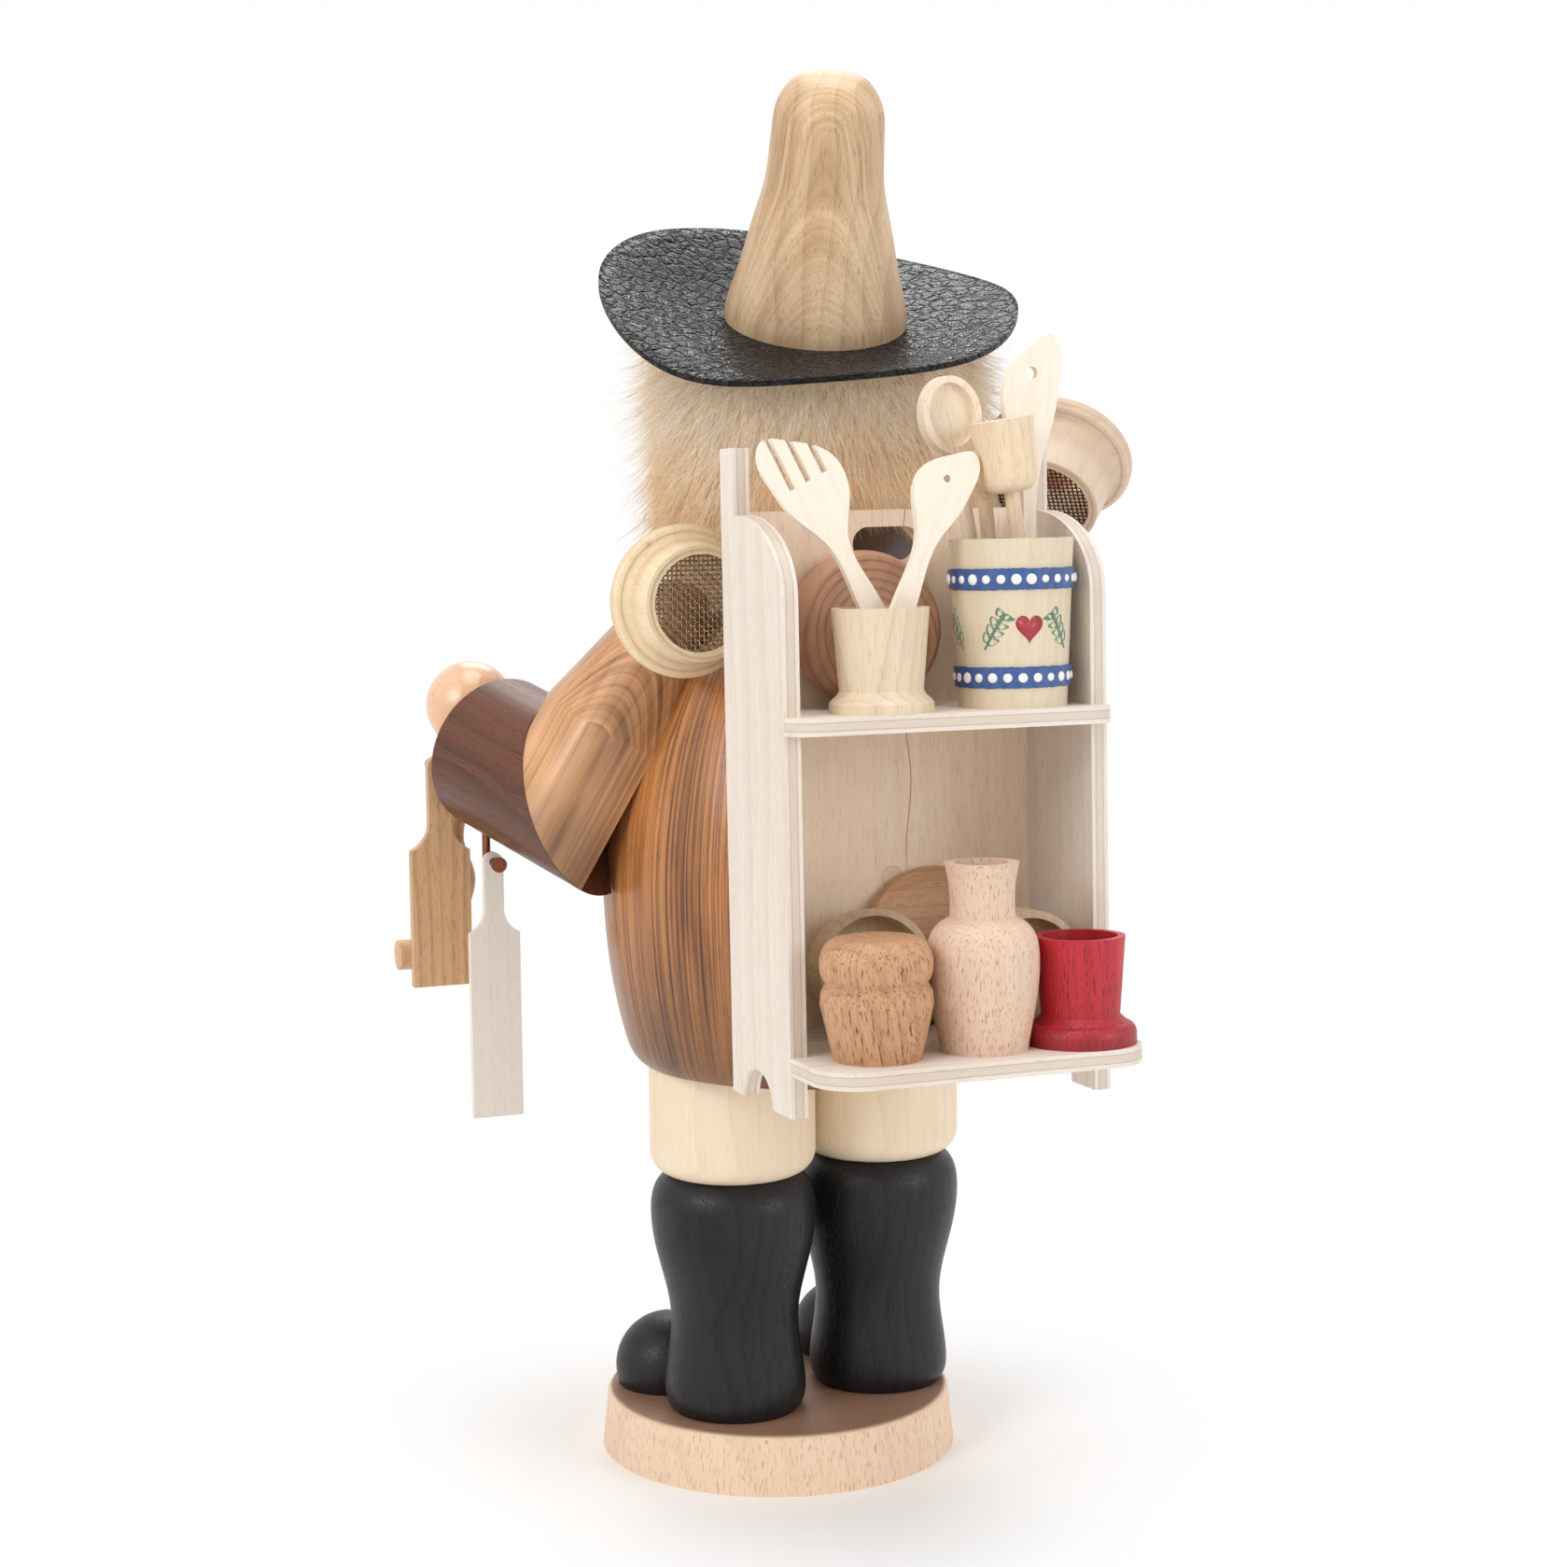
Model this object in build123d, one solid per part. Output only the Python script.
from build123d import *
from math import cos, radians, sin, tan
import os

# A turned wooden incense smoker: a pedlar of kitchen wares with a rack of goods on the back.
# Millimetres and degrees. Z is up, the figure looks along -Y and its left side is +X.
# The origin is the middle of the underside of the round base.

# Base and legs
base_radius = 35.0
base_draft = 1.2
base_height = 11.4
base_bevel = 0.8
legs_x = -3.5
legs_y = 7.5
legs_turn = 10.0
leg_spacing = 33.0
boot_height = 46.6
boot_foot_radius = 13.7
boot_waist_radius = 12.4
boot_calf_radius = 16.0
toe_radius = 10.5
toe_reach = 20.0
toe_rise = 3.6
toe_splay = 12.0
trouser_height = 21.5
trouser_radius = 16.0
trouser_round = 4.5
leg_dowel_radius = 3.0
leg_dowel_seat = 6.0
fit_gap = 0.05

# Hip plate and incense tray
torso_x = -3.5
torso_y = 10.5
hip_thickness = 9.8
hip_gap = 0.3
lift_gap = 0.3
tray_radius = 11.0
tray_sheet = 0.7
tray_rim = 2.2
tack_radius = 0.9
tack_head_radius = 2.4
tack_head_height = 0.8
tack_length = 6.0

# Jacket
jacket_radius = 39.7
jacket_height = 86.2
socket_radius = 28.3
chamber_radius = 26.0
chamber_height = 54.0
chamber_taper = 18.0
smoke_radius = 4.0
neck_radius = 7.0
neck_seat = 6.0

# Head
head_offset_x = -1.2
head_offset_y = 2.5
head_radius = 27.5
head_flat = 2.5
mouth_radius = 3.4
mouth_drop = 10.0
mouth_gap = 1.6
nose_radius = 4.2
nose_sink = 1.4
hair_thickness = 4.5
hair_drop = 7.5
hair_face_half = 19.0
beard_thickness = 3.5
beard_half = 20.0
beard_height = 17.0
beard_bottom = 1.0
beard_depth = 9.0

# Hat
hat_gap = 1.5
hat_tilt = 22.0
hat_roll = 4.0
brim_radius = 39.5
brim_sheet = 1.8
brim_offset = 1.8
brim_dish = 195.0
crown_radius = 17.2
crown_height = 47.0
facet_turn = 12.0
facet_high_reach = 8.7
facet_high = 45.0
facet_low_reach = 11.6
facet_low = 25.0
hat_dowel_radius = 3.0
hat_dowel_seat = 8.0

# Arms, given by the points that their axes run through, as distances from the neck
shoulder_out = 26.5
shoulder_front = 1.5
shoulder_drop = 2.6
left_elbow_out = 43.5
left_elbow_front = 7.5
left_elbow_drop = 35.0
left_cuff_out = 52.0
left_cuff_front = 34.5
left_cuff_drop = 28.5
left_hand_rise = 8.0
left_hand_out = 2.5
right_shoulder_drop = 11.0
right_elbow_out = 49.0
right_elbow_front = 17.5
right_elbow_rise = 14.0
arm_flat = 2.8
shoulder_radius = 8.6
elbow_radius = 14.8
cuff_radius = 15.2
right_elbow_radius = 12.5
right_cuff_radius = 11.5
hand_radius = 8.7
hand_seat = 0.7
arm_dowel_radius = 2.0
arm_dowel_length = 9.0
arm_clearance = 0.3

# Sieves
sieve_flange_radius = 14.0
sieve_flange = 3.0
sieve_ring_radius = 11.0
sieve_ring = 8.0
sieve_deep_ring = 12.0
sieve_opening = 8.8
sieve_lip = 1.2
sieve_bevel = 0.6
mesh_sheet = 0.5
mesh_pitch = 1.1
mesh_gap = 0.75
left_sieve_beside = 4.5
left_sieve_back = 16.5
left_sieve_rise = 3.2
right_sieve_out = 44.1
right_sieve_back = 19.5
right_sieve_rise = 29.2
right_sieve_aim = Vector(0.53, 0.57, -0.62)
grip_reach = 11.6
sieve_peg_radius = 0.9
sieve_peg_seat = 2.2
left_peg_along = 7.0

# Rack
rack_x = -2.8
rack_lean = 1.66
ply = 3.0
rack_width = 54.0
panel_depth = 28.8
panel_bottom = 83.5
stile_depth = 6.4
stile_top = 196.6
panel_shoulder = 185.0
panel_round = 14.0
foot_width = 5.5
front_foot_width = 9.0
notch_height = 5.8
upper_shelf_height = 148.2
upper_shelf_overhang = 4.8
lower_shelf_height = 90.9
lower_shelf_overhang = 18.0
upper_corner_margin = 0.3
lower_corner = 8.0
board_top = 185.6
slot_length = 13.0
slot_width = 6.0
slot_drop = 6.0
rack_peg_radius = 2.0
rack_peg_seat = 5.0
rack_peg_heights = (104.0, 120.0)

# Wares on the rack, placed by their distance along the shelf and out from the back board
egg_cup_place = (10.5, 24.5)
egg_cup_height = 17.8
egg_cup_foot = 9.0
egg_cup_rim = 8.4
egg_cup_bore = 7.2
egg_cup_depth = 7.0
pot_place = (-15.1, 22.4)
pot_height = 29.0
pot_foot = 9.4
pot_rim = 10.8
pot_wall = 1.3
pot_floor = 2.5
pot_band = 3.4
pot_band_heights = (3.6, 20.4)
pot_band_proud = 0.45
bowl_place = 6.5
bowl_radius = 13.6
bowl_depth = 7.0
bowl_wall = 1.6
bowl_lean = 12.0
jar_place = (16.9, 35.5)
jar_radius = 9.6
jar_height = 20.5
vase_place = (-2.7, 35.5)
vase_radius = 9.6
vase_rim = 6.4
vase_height = 32.0
vase_bore = 4.6
vase_depth = 18.0
cup_place = (-20.3, 36.8)
cup_foot = 9.6
cup_rim = 7.8
cup_height = 18.5
cup_wall = 1.3
cup_depth = 12.5
plate_place = -7.0
plate_radius = 14.0
plate_sheet = 2.2
plate_lean = 9.0
box_radius = 10.8
box_depth = 6.0
box_wall = 1.3
left_box_place = (8.4, 9.6)
left_box_lean = 9.0
right_box_place = (-16.2, 19.5)
shelf_gap = 0.05

# Cooking tools that stand in the egg cup and in the pot
blade = 1.6
fork_width = 13.0
fork_blade = 19.0
fork_foot = (8.3, 22.6)
fork_aim = (0.50, -0.04)
fork_length = 40.5
spatula_width = 10.5
spatula_blade = 15.0
spatula_foot = (9.4, 26.4)
spatula_aim = (-0.40, -0.05)
spatula_length = 36.0
tool_neck = 4.2
tool_foot_width = 3.0
spoon_width = 11.0
spoon_bowl = 13.5
spoon_rim = 1.2
spoon_foot = (-14.4, 16.8)
spoon_aim = (0.16, -0.02)
spoon_length = 55.0
masher_head_radius = 5.6
masher_head_height = 12.5
masher_foot = (-19.4, 24.6)
masher_aim = (0.145, -0.01)
masher_length = 47.0
turner_width = 11.0
turner_blade = 20.0
turner_foot = (-19.2, 18.4)
turner_aim = (-0.05, -0.03)
turner_length = 62.0
stick_foot = (-13.6, 21.8)
stick_aim = (0.06, -0.07)
stick_length = 33.0
rod_radius = 1.3
tool_hole = 1.1

# Wares that hang from the left sleeve
peg_radius = 0.8
peg_clearance = 0.1
peg_head = 1.5
paddle_nail_out = 11.5
paddle_nail_drop = 2.5
mallet_nail_out = 6.8
mallet_nail_drop = 8.5
nail_past = 2.4
nail_bury = 8.0
paddle_front = 3.1
paddle_sheet = 2.2
paddle_width = 11.8
paddle_body = 27.0
paddle_handle = 16.5
paddle_neck = 4.4
mallet_front = 12.0
mallet_handle = 31.0
mallet_handle_radius = 4.6
mallet_head_radius = 3.0
mallet_head_length = 23.0
mallet_neck = 1.8
mallet_top = 3.0
hook_out = 3.5
hook_back = 7.0
hook_drop = 20.5
hook_reach = 4.4
board_sheet = 1.8
board_width = 10.0
board_body = 36.5
board_handle = 14.0
board_neck = 3.8

# Heights that follow from the stack of turned pieces
boot_floor = base_height
trouser_floor = boot_floor + boot_height
hip_floor = trouser_floor + trouser_height
tray_floor = hip_floor + hip_thickness
jacket_floor = hip_floor + lift_gap
jacket_top = jacket_floor + jacket_height
hip_radius = socket_radius - hip_gap
head_rise = head_radius - head_flat
hair_radius = head_radius + hair_thickness
beard_radius = head_radius + beard_thickness
hat_rise = head_rise + head_radius + hat_gap
head_middle = Vector(torso_x + head_offset_x, torso_y + head_offset_y, jacket_top + head_rise)

# Points of the arms, the sieves and the hung wares, which follow from the neck
neck = Vector(torso_x, torso_y, jacket_top)
left_shoulder = neck + Vector(shoulder_out, -shoulder_front, -shoulder_drop)
left_elbow = neck + Vector(left_elbow_out, -left_elbow_front, -left_elbow_drop)
left_cuff = neck + Vector(left_cuff_out, -left_cuff_front, -left_cuff_drop)
right_shoulder_height = jacket_top - right_shoulder_drop
right_elbow = neck + Vector(-right_elbow_out, -right_elbow_front, right_elbow_rise)
left_sieve_x = head_middle.X + head_radius + left_sieve_beside
left_sieve = Vector(left_sieve_x, torso_y + left_sieve_back, jacket_top + left_sieve_rise)
right_sieve = neck + Vector(-right_sieve_out, right_sieve_back, right_sieve_rise)
paddle_eye = left_cuff + Vector(paddle_nail_out, -paddle_front, -paddle_nail_drop)
mallet_eye = left_cuff + Vector(mallet_nail_out, -mallet_front, -mallet_nail_drop)
board_eye = left_cuff + Vector(hook_out, hook_back, -hook_drop)
half_width = rack_width / 2
upright = (Align.CENTER, Align.CENTER, Align.MIN)


def turned(*runs):
    """A piece off the lathe about Z. A run of two (radius, height) points is straight, a longer one bent."""
    edges = []
    for run in runs:
        points = [(radius, 0, height) for radius, height in run]
        edges.append(Line(*points) if len(points) == 2 else Spline(*points))
    first_radius, first_height = runs[0][0]
    last_radius, last_height = runs[-1][-1]
    if last_radius > 0:
        edges.append(Line((last_radius, 0, last_height), (0, 0, last_height)))
    edges.append(Line((0, 0, last_height), (0, 0, first_height)))
    if first_radius > 0:
        edges.append(Line((0, 0, first_height), (first_radius, 0, first_height)))
    return revolve(make_face(edges), Axis.Z)


def rod(start, direction, length, radius, end_radius=None):
    """A round rod, or a cone where the end radius differs, from a point along a direction."""
    place = Plane(origin=start, z_dir=direction).location
    if end_radius is None or end_radius == radius:
        return place * Cylinder(radius, length, align=upright)
    return place * Cone(radius, end_radius, length, align=upright)


def dowel(middle, direction, length, radius, extra=0.0):
    """A glued dowel about its middle point, or its hole where extra is the play."""
    way = direction.normalized()
    start = middle - way * (length / 2 + extra)
    return rod(start, way, length + 2 * extra, radius + extra)


def solid_of(shape):
    """The largest solid of a cut shape."""
    return max(shape.solids(), key=lambda solid: solid.volume)


pieces = {}

# Round base
base_plate = Cone(base_radius, base_radius - base_draft, base_height, align=upright)
base_plate = chamfer(base_plate.edges().group_by(Axis.Z)[-1], base_bevel)

# Boots, toes and trousers, on one dowel through each leg
legs_place = Pos(legs_x, legs_y, 0) * Rot(0, 0, legs_turn)
dowel_length = leg_dowel_seat + boot_height + trouser_height + leg_dowel_seat


def boot_shape(extra):
    """The turned boot about its own axis, made thicker by extra."""
    outline = [
        (boot_foot_radius * 0.9 + extra, 0),
        (boot_foot_radius * 0.975 + extra, boot_height * 0.035),
        (boot_foot_radius + extra, boot_height * 0.1),
        (boot_foot_radius * 0.96 + extra, boot_height * 0.21),
        (boot_waist_radius + extra, boot_height * 0.4),
        (boot_calf_radius * 0.93 + extra, boot_height * 0.66),
        (boot_calf_radius + extra, boot_height * 0.83),
        (boot_calf_radius * 0.94 + extra, boot_height * 0.95),
        (boot_calf_radius * 0.80 + extra, boot_height),
    ]
    return turned(outline)


trouser = Cylinder(trouser_radius, trouser_height, align=upright)
trouser = fillet(trouser.edges().group_by(Axis.Z)[0], trouser_round)
leg_dowels = []
hip_holes = []
for side, sign in (("left", 1), ("right", -1)):
    leg = legs_place * Pos(sign * leg_spacing / 2, 0, 0)
    start = leg * Pos(0, 0, boot_floor - leg_dowel_seat)
    round_bar = Cylinder(leg_dowel_radius, dowel_length, align=upright)
    hole = Cylinder(leg_dowel_radius + fit_gap, dowel_length + fit_gap, align=upright)
    leg_dowels.append(start * round_bar)
    hip_holes.append(start * hole)
    base_plate -= start * Pos(0, 0, -fit_gap) * hole
    pieces[side + "_boot"] = leg * Pos(0, 0, boot_floor) * boot_shape(0) - start * hole
    pieces[side + "_trouser"] = leg * Pos(0, 0, trouser_floor) * trouser - start * hole
    toe_place = leg * Rot(0, 0, sign * toe_splay) * Pos(0, -toe_reach, boot_floor + toe_rise)
    toe = toe_place * Sphere(toe_radius)
    toe = split(toe, Plane.XY.offset(boot_floor), keep=Keep.TOP)
    pieces[side + "_toe"] = solid_of(toe - leg * Pos(0, 0, boot_floor) * boot_shape(2 * fit_gap))
pieces["base_plate"] = base_plate
pieces["leg_dowels"] = Compound(children=[part.solid() for part in leg_dowels])

# Hip plate with the brass incense tray tacked on it
torso_place = Pos(torso_x, torso_y, 0)
hip_plate = torso_place * Pos(0, 0, hip_floor) * Cylinder(
    hip_radius, hip_thickness, align=upright
)
for hole in hip_holes:
    hip_plate -= hole
tray_place = torso_place * Pos(0, 0, tray_floor)
tack = turned(
    [(tack_radius, -tack_length), (tack_radius, tray_sheet)],
    [(tack_radius, tray_sheet), (tack_head_radius, tray_sheet)],
    [(tack_head_radius, tray_sheet), (tack_head_radius * 0.6, tray_sheet + tack_head_height)],
)
tack_hole = Pos(0, 0, -tack_length - fit_gap) * Cylinder(
    tack_radius + fit_gap, tack_length + tray_rim, align=upright
)
tray = Cylinder(tray_radius, tray_rim, align=upright)
tray -= Pos(0, 0, tray_sheet) * Cylinder(
    tray_radius - tray_sheet, tray_rim, align=upright
)
pieces["hip_plate"] = hip_plate - tray_place * tack_hole
pieces["incense_tray"] = tray_place * (tray - tack_hole)
pieces["tray_tack"] = tray_place * tack

# Jacket: a hollow turned barrel with a flat cut on each side for the arm
left_arm_way = (left_elbow - left_shoulder).normalized()
sideways = Vector(1, 0, 0)
left_flat_way = (sideways - left_arm_way * sideways.dot(left_arm_way)).normalized()
left_flat_point = left_shoulder - left_flat_way * arm_flat
right_flat_way = Vector(-left_flat_way.X, left_flat_way.Y, left_flat_way.Z)
right_flat_point = Vector(2 * torso_x - left_flat_point.X, left_flat_point.Y, left_flat_point.Z)
left_flat = Plane(origin=left_flat_point, z_dir=left_flat_way)
right_flat = Plane(origin=right_flat_point, z_dir=right_flat_way)


def jacket_shape(extra):
    """The outer barrel of the jacket, made thicker by extra."""
    shares = (
        (0.835, 0.0), (0.873, 0.02), (0.905, 0.06), (0.937, 0.12), (0.972, 0.21), (0.997, 0.34), (1.0, 0.44),
        (0.967, 0.58), (0.88, 0.73), (0.765, 0.84), (0.617, 0.933), (0.453, 1.0),
    )
    return turned([(jacket_radius * across + extra, jacket_height * up) for across, up in shares])


chamber = Cylinder(socket_radius, hip_thickness - lift_gap, align=upright)
chamber_place = Pos(0, 0, hip_thickness - lift_gap)
chamber += chamber_place * turned(
    [(chamber_radius, 0), (chamber_radius, chamber_height)],
    [(chamber_radius, chamber_height), (smoke_radius, chamber_height + chamber_taper)],
)
channel_start = Vector(head_middle.X, head_middle.Y, tray_floor + chamber_height)
channel = rod(channel_start, Vector(0, 0, 1), jacket_height, smoke_radius)
neck_middle = Vector(head_middle.X, head_middle.Y, jacket_top)
neck_hole = dowel(neck_middle, Vector(0, 0, 1), 2 * neck_seat, neck_radius, fit_gap)
jacket = torso_place * Pos(0, 0, jacket_floor) * (jacket_shape(0) - chamber) - channel - neck_hole
jacket = split(jacket, left_flat, keep=Keep.BOTTOM)
jacket = split(jacket, right_flat, keep=Keep.BOTTOM)
neck_tube = dowel(neck_middle, Vector(0, 0, 1), 2 * neck_seat, neck_radius) - channel
pieces["neck_tube"] = neck_tube

# Head with the smoke channel, nose, hair and beard
hat_place = Pos(head_middle.X, head_middle.Y, jacket_top + hat_rise) * Rot(-hat_tilt, hat_roll, 0)
hat_seat = Plane(hat_place * Pos(0, 0, -brim_sheet))
mouth_start = head_middle - Vector(0, 0, mouth_drop)
forward = Vector(0, -1, 0)
head_ball = Pos(head_middle) * Sphere(head_radius)
head = split(head_ball, Plane.XY.offset(jacket_top), keep=Keep.TOP)
head = split(head, hat_seat, keep=Keep.BOTTOM)
head = head - neck_hole - rod(neck_middle, Vector(0, 0, 1), head_rise, smoke_radius)
head -= rod(mouth_start, forward, head_radius, mouth_radius)
nose_middle = head_middle + Vector(0, -head_radius - nose_radius + nose_sink, 0)
nose_place = Pos(nose_middle)
fur_bed = Pos(head_middle) * Sphere(head_radius + 2 * fit_gap)
nose_stem = dowel(
    head_middle + Vector(0, -head_radius, 0), Vector(0, 1, 0), 2 * nose_radius, nose_radius * 0.45
)
nose_hole = dowel(
    head_middle + Vector(0, -head_radius, 0), Vector(0, 1, 0), 2 * nose_radius, nose_radius * 0.45, fit_gap
)
pieces["nose"] = solid_of(nose_place * Sphere(nose_radius) - fur_bed + nose_stem)

hair_floor = head_middle.Z - hair_drop
hair_height = hat_rise - head_rise + hair_drop + brim_radius * tan(radians(hat_tilt))
hair = turned(
    [
        (hair_radius * 0.80, 0),
        (hair_radius * 0.92, hair_height * 0.08),
        (hair_radius * 0.985, hair_height * 0.25),
        (hair_radius, hair_height * 0.45),
        (hair_radius * 0.98, hair_height),
    ],
)
hair = Pos(head_middle.X, head_middle.Y, hair_floor) * hair - fur_bed
hair = split(hair, hat_seat.offset(-arm_clearance), keep=Keep.BOTTOM)
face_front = Pos(head_middle.X, head_middle.Y - head_radius, head_middle.Z) * Box(
    2 * hair_face_half, 2 * head_radius, 4 * head_radius
)
pieces["hair_fur"] = solid_of(hair - face_front)

beard_middle = head_middle + Vector(0, -(beard_radius - head_radius), -(beard_radius - head_radius))
beard = Pos(beard_middle) * Sphere(beard_radius) - fur_bed
beard_zone = Pos(head_middle.X, head_middle.Y - beard_depth, jacket_top + beard_bottom) * Box(
    2 * beard_half, beard_radius, beard_height, align=(Align.CENTER, Align.MAX, Align.MIN)
)
mouth_way_out = rod(mouth_start, forward, 2 * head_radius, mouth_radius + mouth_gap)
pieces["beard_fur"] = solid_of((beard & beard_zone) - mouth_way_out)

# Hat: a dished leather brim with a turned crown on top, on one dowel into the head
dish_middle = hat_place * Pos(0, 0, brim_dish)
brim_blank = hat_place * Pos(brim_offset, 0, 0) * Cylinder(brim_radius, brim_radius * 2)
dish_top = dish_middle * Sphere(brim_dish)
dish_under = dish_middle * Sphere(brim_dish + brim_sheet)
hat_dowel = hat_place * Cylinder(hat_dowel_radius, 2 * hat_dowel_seat + brim_sheet)
hat_hole = hat_place * Cylinder(hat_dowel_radius + fit_gap, 2 * hat_dowel_seat + brim_sheet + 2 * fit_gap)
brim = solid_of((brim_blank & dish_under) - dish_top)
crown = turned(
    [(crown_radius, -brim_sheet), (crown_radius, crown_height * 0.03)],
    [
        (crown_radius, crown_height * 0.03),
        (crown_radius * 0.975, crown_height * 0.09),
        (crown_radius * 0.875, crown_height * 0.22),
        (crown_radius * 0.765, crown_height * 0.39),
        (crown_radius * 0.645, crown_height * 0.57),
        (crown_radius * 0.61, crown_height * 0.72),
        (crown_radius * 0.575, crown_height * 0.87),
        (crown_radius * 0.42, crown_height * 0.965),
        (0, crown_height),
    ],
)
facet_slope = Vector(0, facet_low_reach - facet_high_reach, facet_low - facet_high)
facet_way = Vector(1, 0, 0).cross(facet_slope)
facet_plane = Plane(origin=(0, facet_high_reach, facet_high), x_dir=(1, 0, 0), z_dir=facet_way)
crown = split(Rot(0, 0, -facet_turn) * crown, facet_plane, keep=Keep.BOTTOM)
crown = hat_place * Rot(0, 0, facet_turn) * crown
dish_bed = dish_middle * Sphere(brim_dish - fit_gap)
pieces["hat_crown"] = solid_of((crown & dish_bed) - hat_hole)
pieces["hat_brim"] = brim - hat_hole
pieces["hat_dowel"] = hat_dowel
pieces["head"] = solid_of(head - hat_hole - nose_hole)

# Arms: a flared upper arm flat against the jacket, a mitred sleeve and a ball for the hand
right_shoulder_reach = (right_shoulder_height - left_flat_point.Z) * left_flat_way.Z / left_flat_way.X
right_shoulder = Vector(right_flat_point.X + right_shoulder_reach, right_flat_point.Y, right_shoulder_height)
right_aim = right_sieve_aim.normalized()
grip_down = Vector(0, -1, -0.6)
grip_way = (grip_down - right_aim * grip_down.dot(right_aim)).normalized()
right_hand = right_sieve - right_aim * (hand_radius + fit_gap) + grip_way * grip_reach
right_sleeve_way = (right_hand - right_elbow).normalized()
right_cuff = right_hand - right_sleeve_way * (hand_radius - hand_seat)
left_sleeve_way = (left_cuff - left_elbow).normalized()
left_hand_shift = Vector(left_hand_out, 0, left_hand_rise)
left_hand_shift -= left_sleeve_way * left_hand_shift.dot(left_sleeve_way)
left_hand = left_cuff + left_sleeve_way * (hand_radius - hand_seat) + left_hand_shift

jacket_blank = torso_place * Pos(0, 0, jacket_floor) * jacket_shape(arm_clearance)
shoulder_dowels = []
elbow_dowels = []
wrist_dowels = []


def arm(side, shoulder, elbow, cuff, hand, flat, elbow_size, cuff_size):
    """Adds one arm with its sleeve, hand and dowels, and gives its hole in the jacket."""
    upper_way = (elbow - shoulder).normalized()
    sleeve_way = (cuff - elbow).normalized()
    mitre_way = (sleeve_way + upper_way).normalized()
    mitre = Plane(origin=elbow, z_dir=mitre_way)
    upper_length = (elbow - shoulder).length
    overrun = 2 * elbow_size
    taper = upper_length - elbow_size
    upper = rod(shoulder, upper_way, taper, shoulder_radius, elbow_size)
    upper += rod(shoulder + upper_way * taper, upper_way, elbow_size + overrun, elbow_size)
    upper += Pos(shoulder) * Sphere(shoulder_radius)
    upper = split(upper, mitre, keep=Keep.BOTTOM)
    upper = split(upper, flat, keep=Keep.TOP)
    sleeve_length = (cuff - elbow).length
    sleeve = rod(elbow - sleeve_way * overrun, sleeve_way, sleeve_length + overrun, elbow_size, cuff_size)
    sleeve = split(sleeve, mitre, keep=Keep.TOP) - jacket_blank
    ball = split(Pos(hand) * Sphere(hand_radius), Plane(origin=cuff, z_dir=sleeve_way), keep=Keep.TOP)
    joints = (
        (shoulder_dowels, flat.origin + upper_way * shoulder_radius * 0.4, flat.z_dir),
        (elbow_dowels, elbow, mitre_way),
        (wrist_dowels, hand - sleeve_way * (hand - cuff).dot(sleeve_way), sleeve_way),
    )
    for group, middle, way in joints:
        group.append(dowel(middle, way, arm_dowel_length, arm_dowel_radius).solid())
    shoulder_hole, elbow_hole, wrist_hole = [
        dowel(middle, way, arm_dowel_length, arm_dowel_radius, fit_gap) for group, middle, way in joints
    ]
    pieces[side + "_upper_arm"] = solid_of(upper - shoulder_hole - elbow_hole)
    pieces[side + "_forearm"] = solid_of(sleeve - elbow_hole - wrist_hole)
    pieces[side + "_hand"] = solid_of(ball - wrist_hole)
    return shoulder_hole


right_seat = Plane(origin=right_shoulder, z_dir=right_flat_way)
jacket -= arm(
    "left", left_shoulder, left_elbow, left_cuff, left_hand, left_flat, elbow_radius, cuff_radius
)
jacket -= arm(
    "right", right_shoulder, right_elbow, right_cuff, right_hand, right_seat, right_elbow_radius,
    right_cuff_radius,
)
pieces["shoulder_dowels"] = Compound(children=shoulder_dowels)
pieces["elbow_dowels"] = Compound(children=elbow_dowels)
pieces["wrist_dowels"] = Compound(children=wrist_dowels)


# Sieves: turned rings with a wide flange and a wire mesh on an inner lip
def sieve_ring_shape(ring):
    """A sieve's wooden ring about Z, with the flange at the bottom."""
    height = sieve_flange + ring
    edge = sieve_flange_radius - sieve_bevel
    foot = (sieve_ring_radius + sieve_bevel, sieve_flange + sieve_bevel)
    middle = (sieve_ring_radius, sieve_flange + ring * 0.5)
    shape = turned(
        [(edge, 0), (sieve_flange_radius, sieve_flange * 0.3)],
        [(sieve_flange_radius, sieve_flange * 0.3), (sieve_flange_radius, sieve_flange * 0.7)],
        [(sieve_flange_radius, sieve_flange * 0.7), (edge, sieve_flange)],
        [(edge, sieve_flange), foot],
        [foot, middle],
        [middle, (sieve_ring_radius - sieve_bevel, height)],
    )
    seat = height - sieve_lip
    shape -= Cylinder(sieve_opening + sieve_bevel, seat, align=upright)
    return shape - Cylinder(sieve_opening, height, align=upright)


def sieve_mesh_shape(ring):
    """The round wire mesh, as one sheet with square gaps, seated under the lip."""
    count = int(sieve_opening / mesh_pitch)
    reach = sieve_opening - mesh_gap
    spots = [
        (across * mesh_pitch, along * mesh_pitch)
        for across in range(-count, count + 1)
        for along in range(-count, count + 1)
        if (across**2 + along**2) * mesh_pitch**2 < reach**2
    ]
    sheet = Circle(sieve_opening + sieve_bevel - fit_gap)
    sheet -= [Pos(*spot) * Rectangle(mesh_gap, mesh_gap) for spot in spots]
    return Pos(0, 0, sieve_flange + ring - sieve_lip - mesh_sheet) * extrude(sheet, mesh_sheet)


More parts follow.
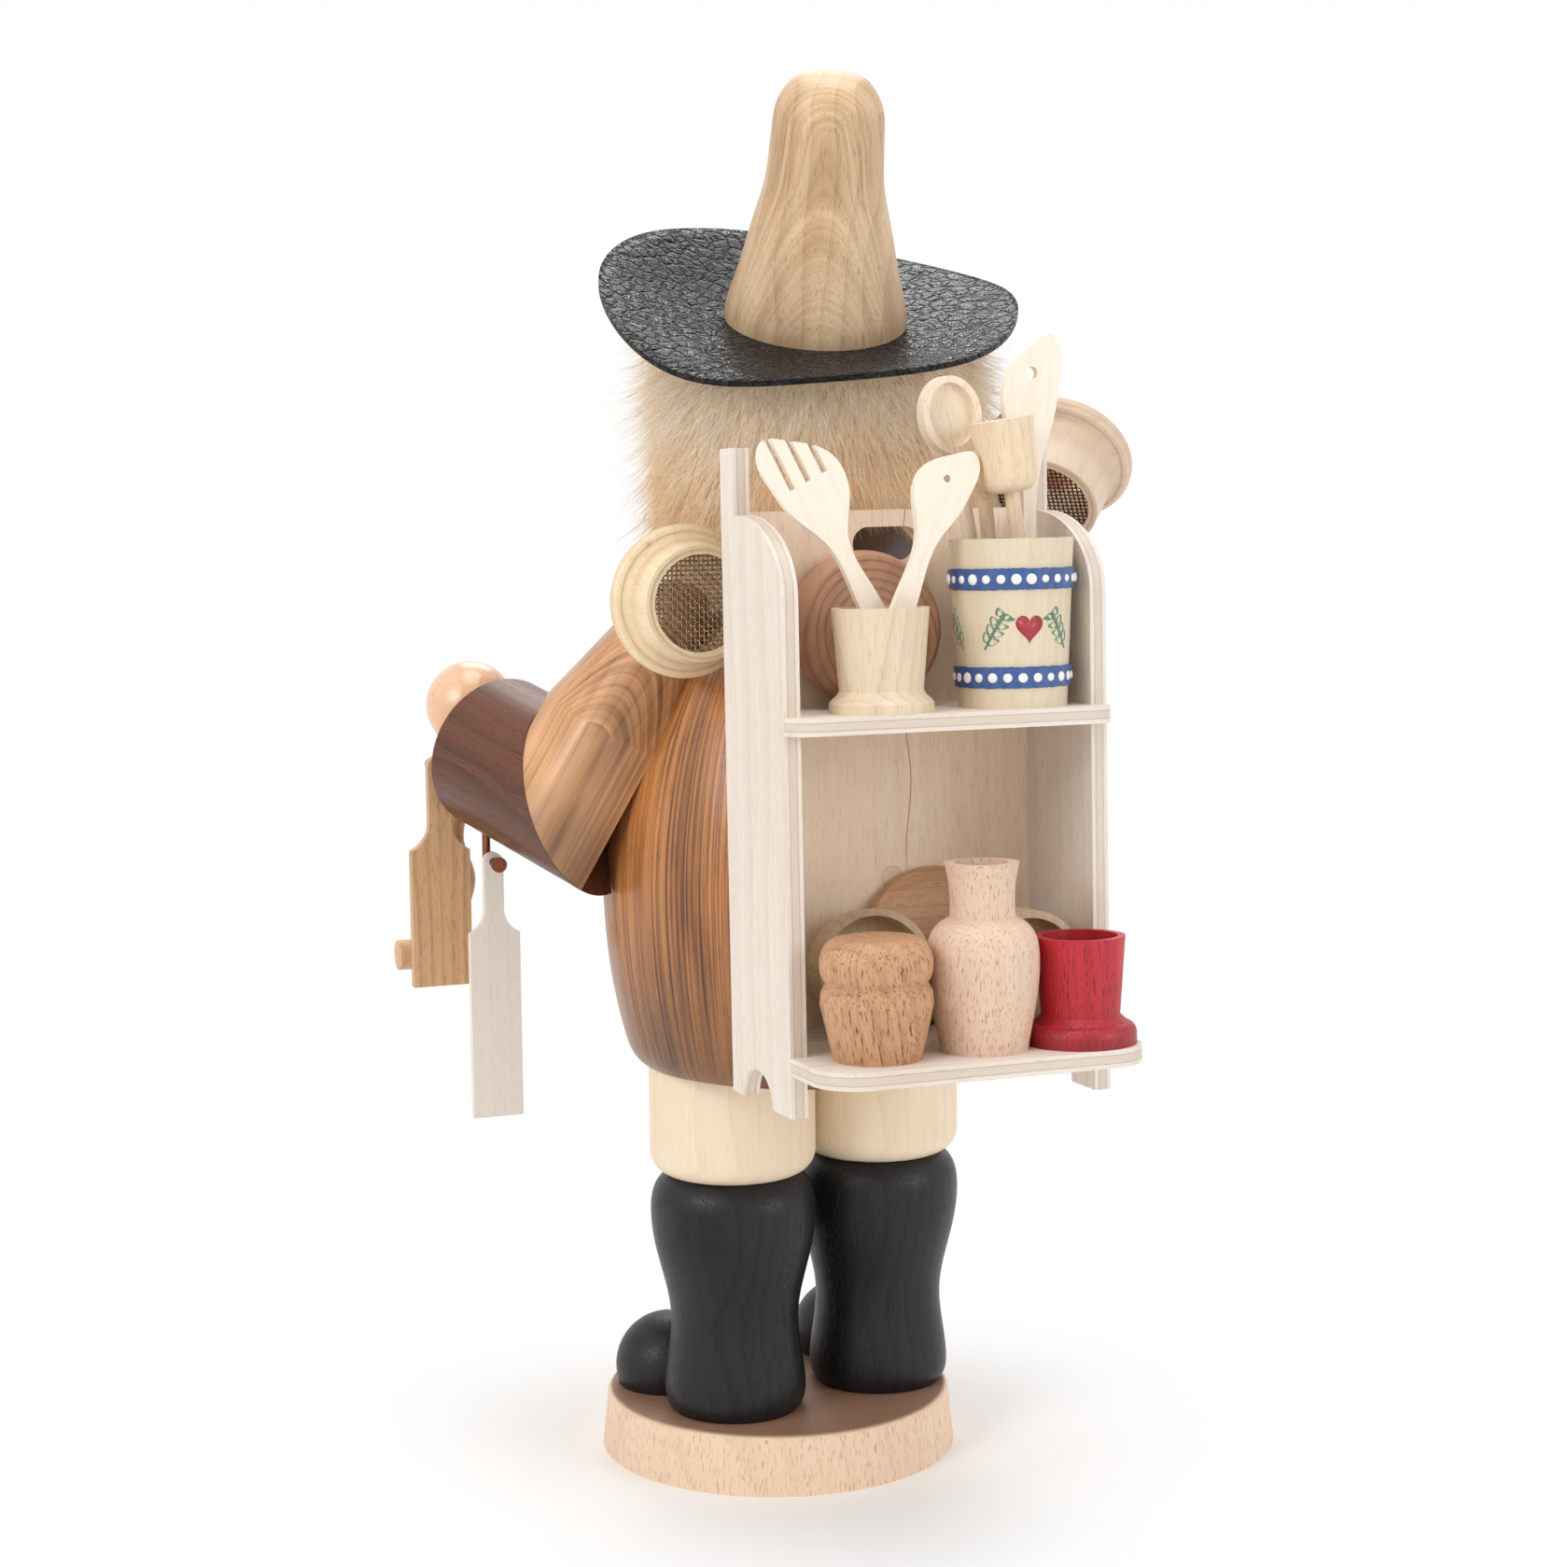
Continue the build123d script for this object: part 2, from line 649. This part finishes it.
left_arm_back = left_shoulder + left_arm_way * left_peg_along
left_peg_spot = Vector(left_arm_back.X, left_sieve.Y, left_arm_back.Z)
left_peg_way = forward
left_peg_start = left_peg_spot - left_peg_way * sieve_peg_seat
left_peg_length = left_sieve.Y + sieve_peg_seat - left_arm_back.Y
right_peg_start = right_sieve + grip_way * grip_reach + right_aim * sieve_peg_seat
right_peg_length = sieve_peg_seat + hand_radius
sieve_pegs = []
left_peg = (left_peg_start, left_peg_way, left_peg_length)
right_peg = (right_peg_start, right_aim * -1, right_peg_length)
sieves = (
    ("left", left_sieve, Vector(0, 1, 0), sieve_ring, left_peg, "left_upper_arm"),
    ("right", right_sieve, right_aim, sieve_deep_ring, right_peg, "right_hand"),
)
for side, place, aim, ring, (peg_start, peg_way, peg_length), holder in sieves:
    spot = Plane(origin=place, z_dir=aim).location
    peg = rod(peg_start, peg_way, peg_length, sieve_peg_radius)
    hole_start = peg_start - peg_way * fit_gap
    peg_hole = rod(hole_start, peg_way, peg_length + 2 * fit_gap, sieve_peg_radius + fit_gap)
    sieve_pegs.append(peg.solid())
    pieces[side + "_sieve_ring"] = solid_of(spot * sieve_ring_shape(ring) - peg_hole)
    pieces[side + "_sieve_mesh"] = spot * sieve_mesh_shape(ring)
    pieces[holder] = solid_of(pieces[holder] - peg_hole)
pieces["sieve_pegs"] = Compound(children=sieve_pegs)

# Rack of birch plywood, leaning a little forward, pegged to the back of the jacket
widest = jacket_floor + jacket_height * 0.44
rack_y = torso_y + jacket_radius + shelf_gap + tan(radians(rack_lean)) * widest
rack = Pos(rack_x, rack_y, 0) * Rot(rack_lean, 0, 0)


def panel_shape():
    """A side panel's outline, drawn in depth and height, and cut from one ply."""
    back = panel_depth
    round_floor = panel_shoulder - panel_round
    round_middle = (stile_depth, round_floor)
    arch_end = back - front_foot_width
    arch_middle = ((arch_end + foot_width) / 2, panel_bottom)
    arch_half = (arch_end - foot_width) / 2
    edges = [
        Line((0, panel_bottom), (0, stile_top)),
        Line((0, stile_top), (stile_depth, stile_top)),
        Line((stile_depth, stile_top), (stile_depth, panel_shoulder)),
        EllipticalCenterArc(round_middle, back - stile_depth, panel_round, start_angle=0, arc_size=90),
        Line((back, round_floor), (back, panel_bottom)),
        Line((back, panel_bottom), (arch_end, panel_bottom)),
        EllipticalCenterArc(arch_middle, arch_half, notch_height, start_angle=0, arc_size=180),
        Line((foot_width, panel_bottom), (0, panel_bottom)),
    ]
    outline = Plane.YZ * make_face(edges)
    return extrude(outline, ply, dir=(1, 0, 0))


def shelf_shape(overhang, corner):
    """A shelf that fits between the panels and spreads to their full width in front of them."""
    inner = Pos(0, ply + (panel_depth - ply) / 2) * Rectangle(rack_width, panel_depth - ply)
    front = Pos(0, panel_depth + overhang / 2) * Rectangle(rack_width + 2 * ply, overhang)
    front = fillet(front.vertices().group_by(Axis.Y)[-1], corner)
    return extrude(inner + front, ply)


pieces["rack_left_panel"] = rack * Pos(half_width, 0, 0) * panel_shape()
pieces["rack_right_panel"] = rack * Pos(-half_width - ply, 0, 0) * panel_shape()
upper_shelf = shelf_shape(upper_shelf_overhang, upper_shelf_overhang - upper_corner_margin)
pieces["rack_upper_shelf"] = rack * Pos(0, 0, upper_shelf_height) * upper_shelf
lower_shelf = shelf_shape(lower_shelf_overhang, lower_corner)
pieces["rack_lower_shelf"] = rack * Pos(0, 0, lower_shelf_height) * lower_shelf
board_middle = (board_top + lower_shelf_height) / 2
board_face = Pos(0, board_middle) * Rectangle(rack_width, board_top - lower_shelf_height)
board_face -= Pos(0, board_top - slot_drop) * SlotOverall(slot_length, slot_width)
back_board = Pos(0, ply, 0) * extrude(Plane.XZ * board_face, ply, dir=(0, -1, 0))
rack_pegs = []
for height in rack_peg_heights:
    peg_middle = (rack * Pos(0, 0, height)).position
    peg_way = (rack * Pos(0, 1, height)).position - peg_middle
    peg_start = peg_middle - peg_way * rack_peg_seat
    peg = rod(peg_start, peg_way, rack_peg_seat + ply, rack_peg_radius)
    rack_pegs.append(peg.solid())
    hole_start = peg_start - peg_way * fit_gap
    peg_hole = rod(hole_start, peg_way, rack_peg_seat + 2 * ply, rack_peg_radius + fit_gap)
    jacket = jacket - peg_hole
    back_board = back_board - rack.inverse() * peg_hole
pieces["rack_back_board"] = rack * back_board
pieces["rack_pegs"] = Compound(children=rack_pegs)
pieces["jacket"] = solid_of(jacket)

# Wares glued on the upper shelf
upper_floor = upper_shelf_height + ply
lower_floor = lower_shelf_height + ply


def on_shelf(place, floor):
    """The spot on a shelf for a ware that stands upright."""
    along, out = place
    return rack * Pos(along, out, floor)


cup_bottom = egg_cup_height - egg_cup_depth
egg_cup = turned(
    [(egg_cup_foot, 0), (egg_cup_foot, egg_cup_height * 0.09)],
    [
        (egg_cup_foot, egg_cup_height * 0.09),
        (egg_cup_foot * 0.93, egg_cup_height * 0.135),
        (egg_cup_foot * 0.86, egg_cup_height * 0.163),
    ],
    [(egg_cup_foot * 0.86, egg_cup_height * 0.163), (egg_cup_rim * 0.86, egg_cup_height * 0.21)],
    [(egg_cup_rim * 0.86, egg_cup_height * 0.21), (egg_cup_rim, egg_cup_height)],
) - Pos(0, 0, cup_bottom) * Cylinder(egg_cup_bore, egg_cup_height, align=upright)
pieces["egg_cup"] = on_shelf(egg_cup_place, upper_floor) * egg_cup


def pot_radius(height):
    """The pot's plain outer radius at a height."""
    return pot_foot + (pot_rim - pot_foot) * height / pot_height


pot = Cone(pot_foot, pot_rim, pot_height, align=upright)
for low in pot_band_heights:
    band_low = pot_radius(low) + pot_band_proud
    band_high = pot_radius(low + pot_band) + pot_band_proud
    pot += Pos(0, 0, low) * Cone(band_low, band_high, pot_band, align=upright)
pot -= Pos(0, 0, pot_floor) * Cone(
    pot_radius(pot_floor) - pot_wall, pot_rim - pot_wall, pot_height - pot_floor,
    align=upright,
)
pieces["painted_pot"] = on_shelf(pot_place, upper_floor) * pot

bowl = turned(
    [(bowl_radius, 0), (bowl_radius, bowl_depth * 0.35)],
    [
        (bowl_radius, bowl_depth * 0.35),
        (bowl_radius * 0.975, bowl_depth * 0.7),
        (bowl_radius * 0.88, bowl_depth),
    ],
)
bowl_floor = bowl_depth - bowl_wall
bowl -= turned(
    [(bowl_radius - bowl_wall, 0), (bowl_radius * 0.82, bowl_floor * 0.7), (bowl_radius * 0.68, bowl_floor)]
)


def leaning(along, out, floor, radius, lean):
    """The spot for a round ware that stands on its rim and leans back, with its axis out of the rack."""
    return rack * Pos(along, out, floor + radius * cos(radians(lean)) + shelf_gap) * Rot(-90 + lean, 0, 0)


bowl_out = ply + bowl_radius * sin(radians(bowl_lean)) + shelf_gap
pieces["brown_bowl"] = leaning(bowl_place, bowl_out, upper_floor, bowl_radius, bowl_lean) * bowl

# Wares glued on the lower shelf
jar = turned(
    [(jar_radius * 0.78, 0), (jar_radius, jar_height * 0.46)],
    [(jar_radius, jar_height * 0.46), (jar_radius * 0.98, jar_height * 0.56)],
    [(jar_radius * 0.98, jar_height * 0.56), (jar_radius * 0.90, jar_height * 0.63)],
    [(jar_radius * 0.90, jar_height * 0.63), (jar_radius * 0.96, jar_height * 0.68)],
    [
        (jar_radius * 0.96, jar_height * 0.68),
        (jar_radius, jar_height * 0.78),
        (jar_radius * 0.94, jar_height * 0.91),
        (jar_radius * 0.72, jar_height),
    ],
)
pieces["honey_jar"] = on_shelf(jar_place, lower_floor) * jar
vase = turned(
    [
        (vase_radius * 0.78, 0),
        (vase_radius * 0.9, vase_height * 0.2),
        (vase_radius, vase_height * 0.5),
        (vase_radius * 0.95, vase_height * 0.6),
        (vase_rim * 0.88, vase_height * 0.71),
    ],
    [(vase_rim * 0.88, vase_height * 0.71), (vase_rim * 0.9, vase_height * 0.9), (vase_rim, vase_height)],
) - Pos(0, 0, vase_height - vase_depth) * Cylinder(
    vase_bore, vase_depth, align=upright
)
pieces["vase"] = on_shelf(vase_place, lower_floor) * vase
red_cup = turned(
    [(cup_foot, 0), (cup_foot, cup_height * 0.1)],
    [
        (cup_foot, cup_height * 0.1),
        (cup_foot * 0.95, cup_height * 0.17),
        (cup_foot * 0.84, cup_height * 0.2),
    ],
    [(cup_foot * 0.84, cup_height * 0.2), (cup_rim * 0.87, cup_height * 0.27)],
    [(cup_rim * 0.87, cup_height * 0.27), (cup_rim, cup_height)],
) - Pos(0, 0, cup_height - cup_depth) * Cylinder(
    cup_rim - cup_wall, cup_depth, align=upright
)
pieces["red_cup"] = on_shelf(cup_place, lower_floor) * red_cup
plate = turned(
    [(plate_radius * 0.93, 0), (plate_radius, plate_sheet * 0.5)],
    [(plate_radius, plate_sheet * 0.5), (plate_radius * 0.97, plate_sheet)],
    [(plate_radius * 0.97, plate_sheet), (plate_radius * 0.8, plate_sheet * 0.75)],
)
plate_out = ply + plate_radius * sin(radians(plate_lean)) + shelf_gap
pieces["round_plate"] = leaning(plate_place, plate_out, lower_floor, plate_radius, plate_lean) * plate
box = Cylinder(box_radius, box_depth, align=upright) - Pos(0, 0, box_wall) * Cylinder(
    box_radius - box_wall, box_depth, align=upright
)
pieces["left_box"] = leaning(*left_box_place, lower_floor, box_radius, left_box_lean) * box
pieces["right_box"] = leaning(*right_box_place, lower_floor, box_radius, 0) * box


# Cooking tools
def tool_place(foot, aim, floor):
    """A tool's own frame: Z runs up its handle, X across its blade."""
    along, out = foot
    way = Vector(aim[0], aim[1], 1).normalized()
    across = Vector(1, 0, -way.X / way.Z)
    lift = tool_foot_width / 2 * (abs(way.X) + abs(way.Y)) + shelf_gap
    return rack * Plane(origin=(along, out, floor + lift), x_dir=across, z_dir=way).location


def flat_tool(length, width, blade_length, high_side):
    """A flat tool cut from thin sheet: a narrow handle, and a blade whose rounded top slants to one side."""
    start = length - blade_length
    half = width / 2
    neck = tool_neck / 2
    outline = [
        (tool_foot_width / 2, 0),
        (neck * 0.85, start * 0.5),
        (neck, start * 0.93),
        (half * 0.82, start + blade_length * 0.3),
        (half * 0.98, start + blade_length * 0.6),
        (half * 0.93, length - blade_length * 0.1),
        (half * 0.6, length),
        (half * 0.1, length - blade_length * 0.08),
        (-half * 0.45, length - blade_length * 0.21),
        (-half * 0.88, length - blade_length * 0.38),
        (-half, length - blade_length * 0.56),
        (-half * 0.82, start + blade_length * 0.2),
        (-neck, start * 0.93),
        (-neck * 0.85, start * 0.5),
        (-tool_foot_width / 2, 0),
    ]
    points = [(high_side * across, up) for across, up in outline]
    edges = [Spline(*points), Line(points[-1], points[0])]
    return extrude(Plane.XZ * make_face(edges), blade / 2, both=True)


egg_floor = upper_floor + cup_bottom
pot_stand = upper_floor + pot_floor
fork = flat_tool(fork_length, fork_width, fork_blade, 1)
tine_cut = fork_width * 0.085
for share in (-0.25, 0.0, 0.25):
    fork -= Pos(share * fork_width, 0, fork_length) * Box(tine_cut, 4 * blade, fork_blade)
pieces["fork_spatula"] = tool_place(fork_foot, fork_aim, egg_floor) * fork
hole_bar = Rot(90, 0, 0) * Cylinder(tool_hole, 4 * blade)
spatula = flat_tool(spatula_length, spatula_width, spatula_blade, -1)
small_bar = Rot(90, 0, 0) * Cylinder(tool_hole * 0.6, 4 * blade)
spatula -= Pos(0, 0, spatula_length - spatula_blade * 0.4) * small_bar
pieces["small_spatula"] = tool_place(spatula_foot, spatula_aim, egg_floor) * spatula
turner = flat_tool(turner_length, turner_width, turner_blade, -1)
turner -= Pos(0, 0, turner_length - turner_blade * 0.35) * hole_bar
pieces["turner"] = tool_place(turner_foot, turner_aim, pot_stand) * turner
spoon_handle = Cylinder(rod_radius, spoon_length - spoon_bowl * 0.8, align=upright)
spoon_middle = Pos(0, 0, spoon_length - spoon_bowl / 2)
spoon_disc = extrude(Plane.XZ * Ellipse(spoon_width / 2, spoon_bowl / 2), blade * 0.9, both=True)
spoon_inside = Ellipse(spoon_width / 2 - spoon_rim, spoon_bowl / 2 - spoon_rim)
spoon_hollow = extrude(Plane.XZ * spoon_inside, blade * 2, dir=(0, 1, 0))
spoon = spoon_handle + spoon_middle * spoon_disc - spoon_middle * spoon_hollow
pieces["oval_spoon"] = tool_place(spoon_foot, spoon_aim, pot_stand) * solid_of(spoon)
masher_head = turned(
    [
        (rod_radius, 0),
        (masher_head_radius * 0.72, masher_head_height * 0.05),
        (masher_head_radius * 0.9, masher_head_height * 0.25),
    ],
    [(masher_head_radius * 0.9, masher_head_height * 0.25), (masher_head_radius, masher_head_height)],
)
masher = Cylinder(rod_radius, masher_length - masher_head_height / 2, align=upright)
masher += Pos(0, 0, masher_length - masher_head_height) * masher_head
pieces["masher"] = tool_place(masher_foot, masher_aim, pot_stand) * masher
stick = Cylinder(rod_radius, stick_length, align=upright)
pieces["stirring_stick"] = tool_place(stick_foot, stick_aim, pot_stand) * stick

# Pegs in the left sleeve: two long nails out of the cuff and a hook under the sleeve
sleeve_nails = []
for ware_eye, ware_half in ((paddle_eye, paddle_sheet / 2), (mallet_eye, mallet_handle_radius)):
    spot = Vector(ware_eye.X, left_cuff.Y, ware_eye.Z) - left_cuff
    cuff_face = left_cuff.Y - spot.dot(left_sleeve_way) / left_sleeve_way.Y
    nail_start = Vector(ware_eye.X, cuff_face + nail_bury, ware_eye.Z)
    nail_end = ware_eye + forward * (ware_half + nail_past)
    nail_length = nail_start.Y - nail_end.Y
    nail = rod(nail_start, forward, nail_length, peg_radius) + rod(nail_end, forward, peg_radius, peg_head)
    sleeve_nails.append(nail.solid())
    nail_hole = rod(nail_start - forward * fit_gap, forward, nail_length, peg_radius + fit_gap)
    pieces["left_forearm"] -= nail_hole
shank_length = left_elbow.Z - board_eye.Z
hook_far = board_eye + forward * hook_reach
hook_near = board_eye - forward * hook_reach
hook = rod(hook_far, Vector(0, 1, 0), 2 * hook_reach, peg_radius)
hook += rod(hook_near, Vector(0, 1, 0), peg_radius, peg_head)
hook += rod(hook_far, Vector(0, 0, 1), shank_length, peg_radius)
hook += Pos(hook_far) * Sphere(peg_radius)
shank_hole = rod(hook_far, Vector(0, 0, 1), shank_length + fit_gap, peg_radius + fit_gap)
pieces["left_forearm"] = solid_of(pieces["left_forearm"] - shank_hole)
pieces["sleeve_nails"] = Compound(children=sleeve_nails)
pieces["sleeve_hook"] = hook

# Wares that hang on the nails and on the hook
eye_radius = peg_radius + peg_clearance
eye = Rot(90, 0, 0) * Cylinder(eye_radius, 4 * mallet_handle_radius)


def hanging_board(width, body, handle, neck, sheet):
    """A flat board that hangs by an eye at the top of its handle, with the eye at the origin."""
    top = neck / 2
    outline = [
        Line((top, 0), (top, -handle * 0.62)),
        Spline((top, -handle * 0.62), (top * 1.25, -handle * 0.82), (width / 2, -handle)),
        Line((width / 2, -handle), (width / 2, -handle - body)),
        Line((width / 2, -handle - body), (-width / 2, -handle - body)),
        Line((-width / 2, -handle - body), (-width / 2, -handle)),
        Spline((-width / 2, -handle), (-top * 1.25, -handle * 0.82), (-top, -handle * 0.62)),
        Line((-top, -handle * 0.62), (-top, 0)),
        CenterArc((0, 0), top, 180, -180),
    ]
    return extrude(Plane.XZ * make_face(outline), sheet / 2, both=True) - eye


paddle = hanging_board(paddle_width, paddle_body, paddle_handle, paddle_neck, paddle_sheet)
pieces["paddle_board"] = Pos(paddle_eye) * paddle
board = hanging_board(board_width, board_body, board_handle, board_neck, board_sheet)
pieces["cutting_board"] = Pos(board_eye) * board
mallet_handle_shape = turned(
    [
        (mallet_neck, -mallet_handle),
        (mallet_neck * 1.1, -mallet_handle * 0.9),
        (mallet_handle_radius * 0.8, -mallet_handle * 0.72),
        (mallet_handle_radius, -mallet_handle * 0.55),
        (mallet_handle_radius * 0.55, -mallet_handle * 0.32),
        (mallet_handle_radius * 0.75, -mallet_handle * 0.12),
        (mallet_handle_radius * 0.6, mallet_top * 0.7),
        (0, mallet_top),
    ],
)
mallet_head = Pos(0, 0, -mallet_handle - mallet_head_radius / 2) * Rot(0, 90, 0) * Cylinder(
    mallet_head_radius, mallet_head_length
)
pieces["mallet"] = Pos(mallet_eye) * (mallet_handle_shape + mallet_head - eye)

os.makedirs("parts", exist_ok=True)
for name, shape in pieces.items():
    export_step(shape, f"parts/{name}.step")
print(len(pieces), "nodes")
